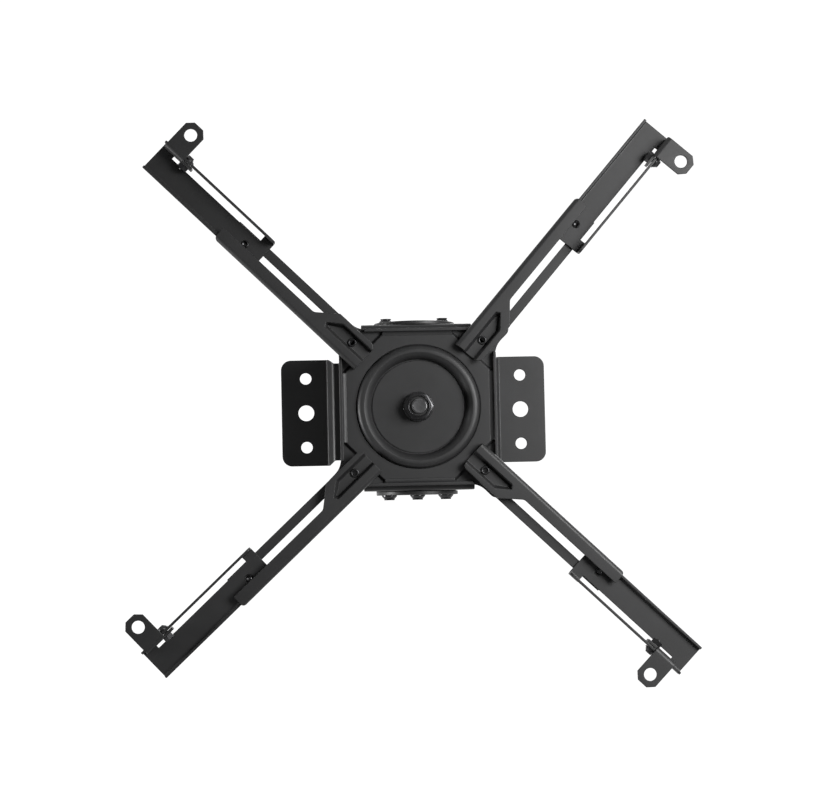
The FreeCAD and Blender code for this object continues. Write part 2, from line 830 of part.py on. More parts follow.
def arm_parts():
    # Each piece of an arm with the slides of the four arms that it follows
    fixed = dict.fromkeys(arm_headings, 0.0)
    return {
        "inner_arm": (inner_arm(), fixed),
        "corner_rivet": (corner_rivet(), fixed),
        "corner_spacer": (corner_spacer(), fixed),
        "outer_arm": (outer_arm(), outer_slides),
        "slide_screw": (slide_screw(), outer_slides),
        "slide_washer": (slide_washer(), outer_slides),
        "lug": (lug(), lug_slides),
        "lug_bolt": (lug_bolt(), lug_slides),
        "lug_washer": (lug_washer(), lug_slides),
        "lug_nut": (lug_nut(), lug_slides),
    }


nodes = hub_parts()
for piece, (shape, slides) in arm_parts().items():
    for name, slide in slides.items():
        nodes[piece + "_" + name] = on_arm(shape, name, slide)

os.makedirs("parts", exist_ok=True)
for node, shape in nodes.items():
    shape.exportStep("parts/" + node + ".step")
    print(node, "valid" if shape.isValid() else "NOT VALID", len(shape.Solids), round(shape.Volume, 1))
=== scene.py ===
import json
import math

import bmesh
import bpy
from mathutils import Euler, Matrix, Vector


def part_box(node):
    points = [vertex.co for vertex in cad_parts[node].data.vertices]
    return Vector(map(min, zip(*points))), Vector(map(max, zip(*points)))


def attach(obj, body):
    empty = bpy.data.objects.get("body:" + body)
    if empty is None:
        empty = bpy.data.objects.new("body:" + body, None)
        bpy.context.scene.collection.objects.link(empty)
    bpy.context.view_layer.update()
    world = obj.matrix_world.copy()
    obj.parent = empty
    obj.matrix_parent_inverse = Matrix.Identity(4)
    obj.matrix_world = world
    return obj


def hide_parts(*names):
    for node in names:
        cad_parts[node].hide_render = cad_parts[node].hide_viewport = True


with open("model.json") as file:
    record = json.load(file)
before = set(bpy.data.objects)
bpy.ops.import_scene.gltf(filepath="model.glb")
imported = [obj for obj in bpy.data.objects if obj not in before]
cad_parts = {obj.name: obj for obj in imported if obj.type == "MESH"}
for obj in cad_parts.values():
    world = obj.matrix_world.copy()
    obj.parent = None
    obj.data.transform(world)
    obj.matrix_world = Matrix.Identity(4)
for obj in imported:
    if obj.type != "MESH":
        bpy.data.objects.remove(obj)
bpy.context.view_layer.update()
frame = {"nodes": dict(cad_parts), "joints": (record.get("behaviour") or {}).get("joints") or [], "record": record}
nodes = frame["nodes"]
bodyOf = {node: body for body, members in frame["record"]["behaviour"]["bodies"].items() for node in members}
slotOf = {row["node"]: row["material_slot"] for row in frame["record"]["subparts"]}
jointOf = {joint["name"]: joint for joint in frame["joints"]}
arms = ("front_left", "front_right", "rear_left", "rear_right")


def feed(tree, socket, source):
    # a source is another node's output or a plain value
    if isinstance(source, bpy.types.NodeSocket):
        tree.links.new(source, socket)
    else:
        socket.default_value = source


def step(tree, kind, sources=(), **settings):
    made = tree.nodes.new(kind)
    for key, value in settings.items():
        setattr(made, key, value)
    for key, source in dict(sources).items():
        feed(tree, made.inputs[key], source)
    return made


def calc(tree, operation, *sources):
    made = step(tree, "ShaderNodeMath", operation=operation)
    for socket, source in zip(made.inputs, sources):
        feed(tree, socket, source)
    return made.outputs[0]


# powder coat on every sheet piece, satin and nearly black
coatLook = {
    "colour": (0.0145, 0.0145, 0.0148, 1),
    "thinColour": (0.0185, 0.0185, 0.019, 1),
    "roughness": (0.43, 0.48),
    "grainScale": 1400.0,  # per metre, the grain of the powder
    "grainDepth": 0.000012,
    "flowScale": 260.0,  # slow waviness where the coat flowed out
    "flowDepth": 0.00001,
    "metallic": 0.0,
    "specular": 0.26,
}

# black zinc on bolts, nuts, washers and rivets, a little glossier than the coat
zincLook = {
    "colour": (0.030, 0.030, 0.031, 1),
    "thinColour": (0.050, 0.050, 0.051, 1),
    "roughness": (0.24, 0.30),
    "grainScale": 2600.0,
    "grainDepth": 0.0000004,
    "flowScale": 300.0,
    "flowDepth": 0.000002,
    "metallic": 0.95,
    "specular": 0.5,
}

# the swivel bolt is worn brighter by its nut
wornLook = dict(zincLook, colour=(0.10, 0.10, 0.102, 1), thinColour=(0.15, 0.15, 0.153, 1))

# black nylon of the friction disc and the lock rings
nylonLook = {
    "colour": (0.012, 0.012, 0.012, 1),
    "thinColour": (0.018, 0.018, 0.018, 1),
    "roughness": (0.50, 0.60),
    "grainScale": 1200.0,
    "grainDepth": 0.00001,
    "flowScale": 200.0,
    "flowDepth": 0.00001,
    "metallic": 0.0,
    "specular": 0.2,
}


# what all four finishes share
finishShares = {
    "patchScale": 45.0,  # per metre, large patches of thinner coat
    "patchFrom": 0.35,
    "patchTo": 0.75,
    "flowStrength": 0.4,
    "grainStrength": 0.5,
    "ior": 1.5,
}


def grainedFinish(name, look):
    # dark finish with a fine grain, a slow waviness and a little change of gloss
    material = bpy.data.materials.new(name)
    material.use_nodes = True
    tree = material.node_tree
    shader = tree.nodes["Principled BSDF"]
    place = step(tree, "ShaderNodeTexCoord").outputs["Object"]
    grain = step(tree, "ShaderNodeTexNoise", {"Vector": place, "Scale": look["grainScale"], "Detail": 2.0})
    flow = step(tree, "ShaderNodeTexNoise", {"Vector": place, "Scale": look["flowScale"], "Detail": 3.0})
    share = finishShares
    patches = step(tree, "ShaderNodeTexNoise", {"Vector": place, "Scale": share["patchScale"], "Detail": 4.0})
    spread = step(tree, "ShaderNodeMapRange", {
        "Value": patches.outputs["Fac"], "From Min": share["patchFrom"], "From Max": share["patchTo"]})
    colour = step(tree, "ShaderNodeMix", {0: spread.outputs["Result"]}, data_type="RGBA")
    colours = [socket for socket in colour.inputs if socket.type == "RGBA"]
    colours[0].default_value = look["colour"]
    colours[1].default_value = look["thinColour"]
    mixed = next(socket for socket in colour.outputs if socket.type == "RGBA")
    gloss = step(tree, "ShaderNodeMapRange", {
        "Value": flow.outputs["Fac"], "From Min": 0.3, "From Max": 0.7,
        "To Min": look["roughness"][0], "To Max": look["roughness"][1]})
    wave = step(tree, "ShaderNodeBump", {
        "Height": flow.outputs["Fac"], "Strength": share["flowStrength"], "Distance": look["flowDepth"]})
    fine = step(tree, "ShaderNodeBump", {
        "Height": grain.outputs["Fac"], "Strength": share["grainStrength"], "Distance": look["grainDepth"],
        "Normal": wave.outputs["Normal"]})
    feed(tree, shader.inputs["Base Color"], mixed)
    feed(tree, shader.inputs["Roughness"], gloss.outputs["Result"])
    feed(tree, shader.inputs["Normal"], fine.outputs["Normal"])
    shader.inputs["Metallic"].default_value = look["metallic"]
    shader.inputs["Specular IOR Level"].default_value = look["specular"]
    shader.inputs["IOR"].default_value = share["ior"]
    return material


powderCoat = grainedFinish("powderCoat", coatLook)
blackZinc = grainedFinish("blackZinc", zincLook)
wornZinc = grainedFinish("wornZinc", wornLook)
blackNylon = grainedFinish("blackNylon", nylonLook)
finishOf = {"black_coat": powderCoat, "black_screws": blackZinc, "friction_nylon": blackNylon}
for name, piece in nodes.items():
    piece.data.materials.clear()
    piece.data.materials.append(finishOf[slotOf[name]])
print("finishes ready")


def crispShading(piece, angle):
    # flat faces stay flat to the eye and only their rounded edges catch the light
    piece.data.set_sharp_from_angle(angle=math.radians(angle))
    modifier = piece.modifiers.new("crisp", "WEIGHTED_NORMAL")
    modifier.keep_sharp = True
    modifier.weight = 90
    shown = piece.evaluated_get(bpy.context.evaluated_depsgraph_get())
    plain = bpy.data.meshes.new_from_object(shown)
    piece.modifiers.remove(modifier)
    piece.data = plain


def fitted(piece, slotName, body, *hidden):
    # joins a finished piece to its body, in place of the plain solids it stands for
    if hidden:
        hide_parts(*hidden)
    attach(piece, body)


# widths of the rounds on the sheets' edges, in metres
sheetEdges = {
    "ceiling_bracket": 0.0004,
    "tilt_cradle": 0.0004,
    "spider_plate": 0.0004,
    "inner_arm": 0.00035,
    "outer_arm": 0.00035,
    "lug": 0.00035,
}
shortEdge = 0.00012  # shorter ones are merged, so that the rounds come out even
flatAngle = 0.6  # degrees, below which two faces are merged into one
crispAngle = 32  # degrees, above which an edge gets a round
shadedAngle = 40  # degrees, above which an edge stays sharp to the eye
roundSegments = 3

# the place in the spider plate that the turned seat fills, in metres
seatHole = {"radius": 0.0417, "slack": 0.00006}


def openedForSeat(work):
    # takes the pressed seat out of the plate and walls the round hole that it leaves
    limit = seatHole["radius"] + seatHole["slack"]
    seat = [face for face in work.faces if all(math.hypot(v.co.x, v.co.y) < limit for v in face.verts)]
    bmesh.ops.delete(work, geom=seat, context="FACES")
    rims = [edge for edge in work.edges if len(edge.link_faces) == 1]
    bmesh.ops.bridge_loops(work, edges=rims)
    bmesh.ops.recalc_face_normals(work, faces=work.faces)


# low lips on the plate's four straight edges and the hollow rounds that lead up to them, in metres
lipSizes = {
    "outer": 0.05252, "inner": 0.0505, "root": -0.0693, "tip": -0.0752, "reach": 0.0365, "slope": 0.0012,
    "roundStart": 0.0476, "field": -0.07302, "roundTop": -0.0746, "roundReach": 0.0242, "roundSteps": 6,
}


def extrudedBar(work, profile, quarter, reach, slope):
    # closed bar along one side of the plate; profile points are (distance from the axis, height)
    turn = Matrix.Rotation(quarter * math.pi / 2, 3, "Z")
    heights = [height for distance, height in profile]
    ends = []
    for way in (-1, 1):
        ring = []
        for distance, height in profile:
            back = slope * (max(heights) - height) / (max(heights) - min(heights))
            ring.append(work.verts.new(turn @ Vector((distance, way * (reach - back), height))))
        ends.append(ring)
    sides = [work.faces.new((ends[0][i - 1], ends[0][i], ends[1][i], ends[1][i - 1]))
             for i in range(len(profile))]
    caps = [work.faces.new(ends[0][::-1]), work.faces.new(ends[1])]
    bmesh.ops.recalc_face_normals(work, faces=sides + caps)


def addLips(work):
    lip = lipSizes
    wall = [(lip["outer"], lip["root"]), (lip["outer"], lip["tip"]), (lip["inner"], lip["tip"]),
            (lip["inner"], lip["root"])]
    hollow = [(lip["inner"] + 0.0005, lip["roundTop"]), (lip["inner"] + 0.0005, lip["root"]),
              (lip["roundStart"], lip["root"])]
    run = lip["inner"] - lip["roundStart"]
    rise = lip["field"] - lip["roundTop"]
    for count in range(lip["roundSteps"] + 1):
        angle = math.pi / 2 * count / lip["roundSteps"]
        hollow.append((lip["roundStart"] + run * math.sin(angle), lip["field"] - rise * (1 - math.cos(angle))))
    for quarter in range(4):
        extrudedBar(work, wall, quarter, lip["reach"], lip["slope"])
        extrudedBar(work, hollow, quarter, lip["roundReach"], lip["slope"])


def softened(nodeName, width):
    # copy of a folded piece, merged, with a small round on every crisp edge
    mesh = bpy.data.meshes.new(nodeName + "_soft")
    work = bmesh.new()
    work.from_mesh(nodes[nodeName].data)
    bmesh.ops.remove_doubles(work, verts=work.verts, dist=1e-6)
    if nodeName == "spider_plate":
        openedForSeat(work)
    bmesh.ops.dissolve_limit(work, angle_limit=math.radians(flatAngle), verts=work.verts, edges=work.edges)
    bmesh.ops.dissolve_degenerate(work, edges=work.edges, dist=shortEdge)
    if nodeName == "spider_plate":
        addLips(work)
    crisp = [edge for edge in work.edges
             if len(edge.link_faces) == 2 and edge.calc_face_angle(0) > math.radians(crispAngle)]
    bmesh.ops.bevel(work, geom=crisp, offset=width, offset_type="OFFSET", segments=roundSegments, profile=0.5,
                    affect="EDGES", clamp_overlap=False)
    bmesh.ops.triangulate(work, faces=[face for face in work.faces if len(face.verts) > 4])
    for face in work.faces:
        face.smooth = True
    work.to_mesh(mesh)
    work.free()
    mesh.materials.append(powderCoat)
    piece = bpy.data.objects.new(nodeName + "_dressed", mesh)
    bpy.context.scene.collection.objects.link(piece)
    crispShading(piece, shadedAngle)
    fitted(piece, "black_coat", bodyOf[nodeName], nodeName)
    return piece


for start, width in sheetEdges.items():
    for name in [start] + [start + "_" + arm for arm in arms]:
        if name in nodes:
            softened(name, width)
print("folded sheets rounded at their edges")


def startTree(name, sizes):
    # geometry tree with a mesh of places, its named sizes and its finish as inputs
    tree = bpy.data.node_groups.new(name, "GeometryNodeTree")
    tree.interface.new_socket("Places", in_out="INPUT", socket_type="NodeSocketGeometry")
    for size in sizes:
        tree.interface.new_socket(size, in_out="INPUT", socket_type="NodeSocketFloat")
    tree.interface.new_socket("Steps", in_out="INPUT", socket_type="NodeSocketInt")
    tree.interface.new_socket("Finish", in_out="INPUT", socket_type="NodeSocketMaterial")
    tree.interface.new_socket("Pieces", in_out="OUTPUT", socket_type="NodeSocketGeometry")
    return tree, tree.nodes.new("NodeGroupInput").outputs


def sumOf(tree, sizes, words):
    # "Height - Chamfer" becomes that sum of named sizes, and "" is nothing
    total = 0.0
    for part in words.replace(" - ", " + -").split(" + "):
        if part:
            operation = "SUBTRACT" if part.startswith("-") else "ADD"
            total = calc(tree, operation, total, sizes[part.lstrip("-")])
    return total


def chosen(tree, index, values):
    # the value that belongs to a point's number
    switch = step(tree, "GeometryNodeIndexSwitch", data_type="FLOAT")
    while len(switch.index_switch_items) < len(values):
        switch.index_switch_items.new()
    feed(tree, switch.inputs["Index"], index)
    for number, value in enumerate(values):
        feed(tree, switch.inputs[number + 1], value)
    return switch.outputs[0]


def kept(tree, geometry, name, value):
    store = step(tree, "GeometryNodeStoreNamedAttribute", {"Geometry": geometry, "Name": name},
                 data_type="FLOAT", domain="POINT")
    feed(tree, next(s for s in store.inputs if s.name == "Value" and s.enabled), value)
    return store.outputs["Geometry"]


def named(tree, name):
    return step(tree, "GeometryNodeInputNamedAttribute", {"Name": name}, data_type="FLOAT").outputs["Attribute"]


def whole(tree, operation, *sources):
    made = step(tree, "FunctionNodeIntegerMath", operation=operation)
    for socket, source in zip(made.inputs, sources):
        feed(tree, socket, source)
    return made.outputs[0]


def wrapped(tree, rows, radius, height, angle, around):
    # grid bent round the axis by its radius, height and angle, with the seam and the poles closed
    grid = step(tree, "GeometryNodeMeshGrid", {"Vertices X": around, "Vertices Y": rows})
    across = calc(tree, "MULTIPLY", radius, calc(tree, "COSINE", angle))
    along = calc(tree, "MULTIPLY", radius, calc(tree, "SINE", angle))
    place = step(tree, "ShaderNodeCombineXYZ", {"X": across, "Y": along, "Z": height})
    bent = step(tree, "GeometryNodeSetPosition", {"Geometry": grid.outputs["Mesh"], "Position": place.outputs[0]})
    merged = step(tree, "GeometryNodeMergeByDistance", {"Geometry": bent.outputs["Geometry"], "Distance": 1e-6})
    return merged.outputs["Geometry"]


def turnedForm(tree, sizes, corners):
    # solid turned through rounded corners of radius, height, round, flats and cuts;
    # a corner with flats has its ring cut to a hexagon
    index = step(tree, "GeometryNodeInputIndex").outputs[0]
    columns = list(zip(*corners))
    radius = chosen(tree, index, [sumOf(tree, sizes, words) for words in columns[0]])
    height = chosen(tree, index, [sumOf(tree, sizes, words) for words in columns[1]])
    rounds = chosen(tree, index, [sumOf(tree, sizes, words) for words in columns[2]])
    flats = chosen(tree, index, [sumOf(tree, sizes, words) if words else 1.0 for words in columns[3]])
    cuts = chosen(tree, index, [float(count) for count in columns[4]])
    place = step(tree, "ShaderNodeCombineXYZ", {"X": radius, "Z": height})
    points = step(tree, "GeometryNodePoints", {"Count": len(corners), "Position": place.outputs[0]})
    outline = step(tree, "GeometryNodePointsToCurves", {"Points": points.outputs[0], "Weight": index})
    outline = kept(tree, outline.outputs["Curves"], "rounds", rounds)
    outline = kept(tree, outline, "flats", flats)
    cut = step(tree, "GeometryNodeSubdivideCurve", {"Curve": outline, "Cuts": cuts})
    smooth = step(tree, "GeometryNodeFilletCurve", {
        "Curve": cut.outputs[0], "Count": 6, "Radius": named(tree, "rounds"), "Limit Radius": True}, mode="POLY")
    outline = smooth.outputs[0]
    rows = step(tree, "GeometryNodeAttributeDomainSize", {0: outline}, component="CURVE").outputs["Point Count"]
    row = whole(tree, "MODULO", index, rows)
    column = whole(tree, "DIVIDE", index, rows)
    spot = step(tree, "GeometryNodeSampleIndex", {"Geometry": outline, "Index": row}, data_type="FLOAT_VECTOR")
    feed(tree, next(s for s in spot.inputs if s.name == "Value" and s.enabled),
         step(tree, "GeometryNodeInputPosition").outputs[0])
    trim = step(tree, "GeometryNodeSampleIndex", {"Geometry": outline, "Index": row}, data_type="FLOAT")
    feed(tree, next(s for s in trim.inputs if s.name == "Value" and s.enabled), named(tree, "flats"))
    spotParts = step(tree, "ShaderNodeSeparateXYZ", {0: next(s for s in spot.outputs if s.enabled)}).outputs
    trimmed = next(s for s in trim.outputs if s.enabled)
    angle = calc(tree, "DIVIDE", calc(tree, "MULTIPLY", column, math.tau), sizes["Steps"])
    sector = calc(tree, "MODULO", calc(tree, "ADD", angle, 1e-5), math.pi / 3)
    folded = calc(tree, "SUBTRACT", sector, math.pi / 6)
    hexagon = calc(tree, "DIVIDE", calc(tree, "MULTIPLY", trimmed, 0.5), calc(tree, "COSINE", folded))
    reach = calc(tree, "MINIMUM", spotParts["X"], hexagon)
    around = calc(tree, "ADD", sizes["Steps"], 1.0)
    return wrapped(tree, rows, reach, spotParts["Z"], angle, around)


def threadedForm(tree, sizes):
    # threaded rod from Thread Start down to Thread End, hollowed by Cup at its tip;
    # its rows follow the helix, four to a turn
    index = step(tree, "GeometryNodeInputIndex").outputs[0]
    length = calc(tree, "SUBTRACT", sizes["Thread Start"], sizes["Thread End"])
    turns = calc(tree, "CEIL", calc(tree, "ADD", calc(tree, "DIVIDE", length, sizes["Pitch"]), 1.0))
    rows = calc(tree, "MULTIPLY_ADD", turns, 4.0, 3.0)
    row = whole(tree, "MODULO", index, rows)
    column = whole(tree, "DIVIDE", index, rows)
    turn = calc(tree, "DIVIDE", column, sizes["Steps"])
    along = calc(tree, "ADD", calc(tree, "DIVIDE", row, 4.0), calc(tree, "SUBTRACT", turn, 1.0))
    run = calc(tree, "MULTIPLY", along, sizes["Pitch"])
    deep = calc(tree, "MINIMUM", calc(tree, "MAXIMUM", run, 0.0), length)
    groove = calc(tree, "GREATER_THAN", calc(tree, "MODULO", row, 4.0), 1.5)
    crest = calc(tree, "SUBTRACT", sizes["Thread Radius"], calc(tree, "MULTIPLY", groove, sizes["Thread Depth"]))
    root = calc(tree, "SUBTRACT", sizes["Thread Radius"], sizes["Thread Depth"])
    tip = calc(tree, "SUBTRACT", sizes["Thread Radius"], sizes["Tip Chamfer"])
    crest = calc(tree, "MINIMUM", crest, calc(tree, "ADD", root, deep))
    crest = calc(tree, "MINIMUM", crest, calc(tree, "ADD", tip, calc(tree, "SUBTRACT", length, deep)))
    inner = calc(tree, "MULTIPLY", calc(tree, "GREATER_THAN", row, 0.5),
                 calc(tree, "LESS_THAN", row, calc(tree, "SUBTRACT", rows, 1.5)))
    radius = calc(tree, "MULTIPLY", crest, inner)
    cup = calc(tree, "MULTIPLY", sizes["Cup"], calc(tree, "GREATER_THAN", row, calc(tree, "SUBTRACT", rows, 1.5)))
    height = calc(tree, "ADD", calc(tree, "SUBTRACT", sizes["Thread Start"], deep), cup)
    around = calc(tree, "ADD", sizes["Steps"], 1.0)
    return wrapped(tree, rows, radius, height, calc(tree, "MULTIPLY", turn, math.tau), around)


def finishTree(tree, sizes, forms):
    # one copy at every place, turned to its aim
    joined = step(tree, "GeometryNodeJoinGeometry")
    for form in forms:
        tree.links.new(form, joined.inputs[0])
    aim = step(tree, "GeometryNodeInputNamedAttribute", {"Name": "aim"}, data_type="FLOAT_VECTOR")
    turn = step(tree, "FunctionNodeAlignRotationToVector", {"Vector": aim.outputs["Attribute"]}, axis="Z")
    copies = step(tree, "GeometryNodeInstanceOnPoints", {
        "Points": sizes["Places"], "Instance": joined.outputs[0], "Rotation": turn.outputs[0]})
    real = step(tree, "GeometryNodeRealizeInstances", {"Geometry": copies.outputs[0]})
    dressed = step(tree, "GeometryNodeSetMaterial", {"Geometry": real.outputs[0], "Material": sizes["Finish"]})
    tree.links.new(dressed.outputs[0], tree.nodes.new("NodeGroupOutput").inputs[0])
    return tree


def turnedTree(name, sizeNames, corners, threaded=False):
    threadSizes = ["Thread Radius", "Thread Depth", "Pitch", "Tip Chamfer", "Thread Start", "Thread End", "Cup"]
    tree, sizes = startTree(name, sizeNames + (threadSizes if threaded else []))
    forms = [turnedForm(tree, sizes, corners)]
    if threaded:
        forms.append(threadedForm(tree, sizes))
    return finishTree(tree, sizes, forms)


def grown(name, tree, settings, places, slotName, body, *hidden):
    # settings are in millimetres; every place is a point in metres and the way that the piece's top faces
    mesh = bpy.data.meshes.new(name)
    mesh.from_pydata([tuple(point) for point, aim in places], [], [])
    aims = mesh.attributes.new("aim", "FLOAT_VECTOR", "POINT")
    aims.data.foreach_set("vector", [part for point, aim in places for part in aim])
    piece = bpy.data.objects.new(name, mesh)
    bpy.context.scene.collection.objects.link(piece)
    modifier = piece.modifiers.new("shape", "NODES")
    modifier.node_group = tree
    for item in tree.interface.items_tree:
        if item.name == "Steps":
            modifier[item.identifier] = settings["Steps"]
        elif item.name == "Finish":
            modifier[item.identifier] = settings.get("finish", finishOf[slotName])
        elif item.name in settings:
            modifier[item.identifier] = settings[item.name] / 1000
    shown = piece.evaluated_get(bpy.context.evaluated_depsgraph_get())
    plain = bpy.data.meshes.new_from_object(shown)
    piece.modifiers.remove(modifier)
    work = bmesh.new()
    work.from_mesh(plain)
    bmesh.ops.remove_doubles(work, verts=work.verts, dist=1e-6)
    bmesh.ops.dissolve_degenerate(work, edges=work.edges, dist=1e-7)
    bmesh.ops.recalc_face_normals(work, faces=work.faces)
    for face in work.faces:
        face.smooth = True
    work.to_mesh(plain)
    work.free()
    piece.data = plain
    crispShading(piece, settings.get("sharpFrom", 35))
    fitted(piece, slotName, body, *hidden)
    print(name, len(plain.polygons), "faces")
    return piece


down = (0, 0, -1)
up = (0, 0, 1)

# pressed seat of the spider plate: round bead, slope and sunk disc, turned about the swivel axis
seatSizes = {
    "Foot Radius": 41.1, "Root": 71.3, "Field": 73.0, "Crest": 77.0, "Bead Round": 3.9,
    "Brow Radius": 36.2, "Brow Round": 0.9, "Slope Radius": 31.98, "Slope Height": 75.12, "Slope Round": 7.4,
    "Groove Radius": 31.7, "Groove Depth": 0.7, "Disc Radius": 31.0, "Disc Round": 0.45, "Disc": 70.5,
    "Bore": 5.2, "Bore Round": 0.3, "Disc Back": 68.5, "Back Radius": 33.7, "Back Slope": 75.0,
    "Under Radius": 39.7, "Back Root": 71.05, "Steps": 192, "sharpFrom": 35,
}
seatTree = turnedTree(
    "pressedSeat", [key for key in seatSizes if key[0].isupper() and key != "Steps"],
    [
        ("Foot Radius", "Root", "", "", 0),
        ("Foot Radius", "Crest", "Bead Round", "", 0),
        ("Brow Radius", "Crest", "Brow Round", "", 0),
        ("Slope Radius", "Slope Height", "Slope Round", "", 0),
        ("Groove Radius", "Disc", "", "", 0),
        ("Groove Radius", "Disc - Groove Depth", "", "", 0),
        ("Disc Radius", "Disc - Groove Depth", "", "", 0),
        ("Disc Radius", "Disc", "Disc Round", "", 0),
        ("Bore", "Disc", "Bore Round", "", 0),
        ("Bore", "Disc Back", "Bore Round", "", 0),
        ("Back Radius", "Disc Back", "Brow Round", "", 0),
        ("Back Radius", "Back Slope", "Brow Round", "", 0),
        ("Under Radius", "Back Slope", "Brow Round", "", 0),
        ("Under Radius", "Back Root", "", "", 0),
        ("Foot Radius", "Back Root", "", "", 0),
        ("Foot Radius", "Root", "", "", 0),
    ])
grown("pressed_seat", seatTree, seatSizes, [((0, 0, 0), down)], "black_coat", "spider")
print("seat pressed")

# lock nuts: chamfered hexagon below a round collar whose rim is rolled over a nylon ring
nutCorners = [
    ("Bore", "", "", "", 0),
    ("Flats", "", "", "Flats", 0),
    ("Flats", "Hex Height - Chamfer", "", "Flats", 8),
    ("Shoulder", "Hex Height", "", "Flats", 0),
    ("Collar", "Hex Height", "", "", 0),
    ("Collar", "Height", "Collar Round", "", 0),
    ("Ring", "Height", "Rim Round", "", 0),
    ("Ring", "Height - Ring Drop", "", "", 0),
    ("Bore", "Height - Ring Drop", "", "", 0),
    ("Bore", "", "", "", 0),
]
nutNames = ["Bore", "Flats", "Hex Height", "Chamfer", "Shoulder", "Collar", "Height", "Collar Round", "Ring",
            "Rim Round", "Ring Drop"]
nutTree = turnedTree("lockNut", nutNames, nutCorners)
ringNames = ["Ring Bore", "Ring", "Ring Base", "Ring Top", "Ring Round"]
ringTree = turnedTree("lockRing", ringNames, [
    ("Ring Bore", "Ring Base", "", "", 0),
    ("Ring", "Ring Base", "", "", 0),
    ("Ring", "Ring Top", "Ring Round", "", 0),
    ("Ring Bore", "Ring Top", "Ring Round", "", 0),
    ("Ring Bore", "Ring Base", "", "", 0),
])
washerTree = turnedTree("flatWasher", ["Bore", "Radius", "Height", "Edge Round"], [
    ("Bore", "", "", "", 0),
    ("Radius", "", "Edge Round", "", 0),
    ("Radius", "Height", "Edge Round", "", 0),
    ("Bore", "Height", "Edge Round", "", 0),
    ("Bore", "", "", "", 0),
])

# button-headed socket screws with a threaded shank
screwTree = turnedTree(
    "socketScrew",
    ["Socket", "Socket Floor", "Head Top", "Dome Run", "Dome Round", "Head Radius", "Rim", "Rim Round", "Shank"],
    [
        ("", "Socket Floor", "", "", 0),
        ("Socket", "Socket Floor", "", "Socket", 0),
        ("Socket", "Head Top", "", "Socket", 0),
        ("Head Radius - Dome Run", "Head Top", "Dome Round", "", 0),
        ("Head Radius", "Rim", "Rim Round", "", 0),
        ("Head Radius", "", "", "", 0),
        ("Shank", "", "", "", 0),
        ("", "", "", "", 0),
    ], threaded=True)

# round-headed swivel bolt: low dome above the cradle's web, threaded shank below
swivelBolt = {
    "Socket": 6.0, "Socket Floor": 1.9, "Head Top": 5.0, "Dome Run": 6.6, "Dome Round": 8.0, "Head Radius": 11.5,
    "Rim": 1.2, "Rim Round": 0.5, "Shank": 4.0, "Thread Radius": 5.0, "Thread Depth": 0.8, "Pitch": 1.5,
    "Tip Chamfer": 1.0, "Thread Start": 0.1, "Thread End": -20.1, "Cup": 0.25, "Steps": 48,
    "finish": wornZinc,
}
swivelNut = {
    "Bore": 5.05, "Flats": 17.0, "Hex Height": 7.0, "Chamfer": 2.0, "Shoulder": 8.0, "Collar": 7.14,
    "Height": 10.0, "Collar Round": 0.28, "Ring": 6.55, "Rim Round": 0.28, "Ring Drop": 2.2, "Steps": 96,
}
swivelRing = {"Ring Bore": 5.02, "Ring": 6.55, "Ring Base": 7.8, "Ring Top": 9.0, "Ring Round": 0.3, "Steps": 64}
swivelWasher = {"Bore": 5.2, "Radius": 10.0, "Height": 2.0, "Edge Round": 0.35, "Steps": 96}
boltFace = (0, 0, -0.064)
washerFace = (0, 0, -0.0705)
nutFace = (0, 0, -0.0725)
grown("swivel_bolt_threaded", screwTree, swivelBolt, [(boltFace, up)], "black_screws", "cradle", "swivel_bolt")
grown("swivel_washer_turned", washerTree, swivelWasher, [(washerFace, down)], "black_screws", "cradle",
      "swivel_washer")
grown("swivel_nut_turned", nutTree, swivelNut, [(nutFace, down)], "black_screws", "cradle", "swivel_nut")
grown("swivel_nut_ring", ringTree, swivelRing, [(nutFace, down)], "friction_nylon", "cradle")
print("swivel bolt, washer and nut made")

# tilt hardware: six screws' places on the two cheeks
tiltPlaces = {"reach": 0.0193, "face": 0.0587, "height": -0.035, "wall": 0.0053, "washer": 0.0016}
tiltBolt = {
    "Socket": 4.0, "Socket Floor": 1.3, "Head Top": 3.3, "Dome Run": 2.3, "Dome Round": 3.0, "Head Radius": 5.2,
    "Rim": 0.7, "Rim Round": 0.3, "Shank": 2.4, "Thread Radius": 3.0, "Thread Depth": 0.5, "Pitch": 1.0,
    "Tip Chamfer": 0.7, "Thread Start": 0.1, "Thread End": -13.9, "Cup": 0.3, "Steps": 36,
}
tiltWasher = {"Bore": 3.2, "Radius": 6.0, "Height": 1.6, "Edge Round": 0.25, "Steps": 48}
tiltNut = {
    "Bore": 3.05, "Flats": 10.0, "Hex Height": 4.2, "Chamfer": 1.2, "Shoulder": 4.7, "Collar": 4.2, "Height": 6.0,
    "Collar Round": 0.6, "Ring": 3.7, "Rim Round": 0.25, "Ring Drop": 1.0, "Steps": 48,
}
tiltRing = {"Ring Bore": 3.02, "Ring": 3.7, "Ring Base": 5.0, "Ring Top": 5.7, "Ring Round": 0.2, "Steps": 36}


def onCheek(side, x, inset):
    return (x, side * (tiltPlaces["face"] - inset), tiltPlaces["height"])


def onCheeks(spots, inset, outward):
    return [(onCheek(side, x, inset), (0, side if outward else -side, 0)) for side, x in spots]


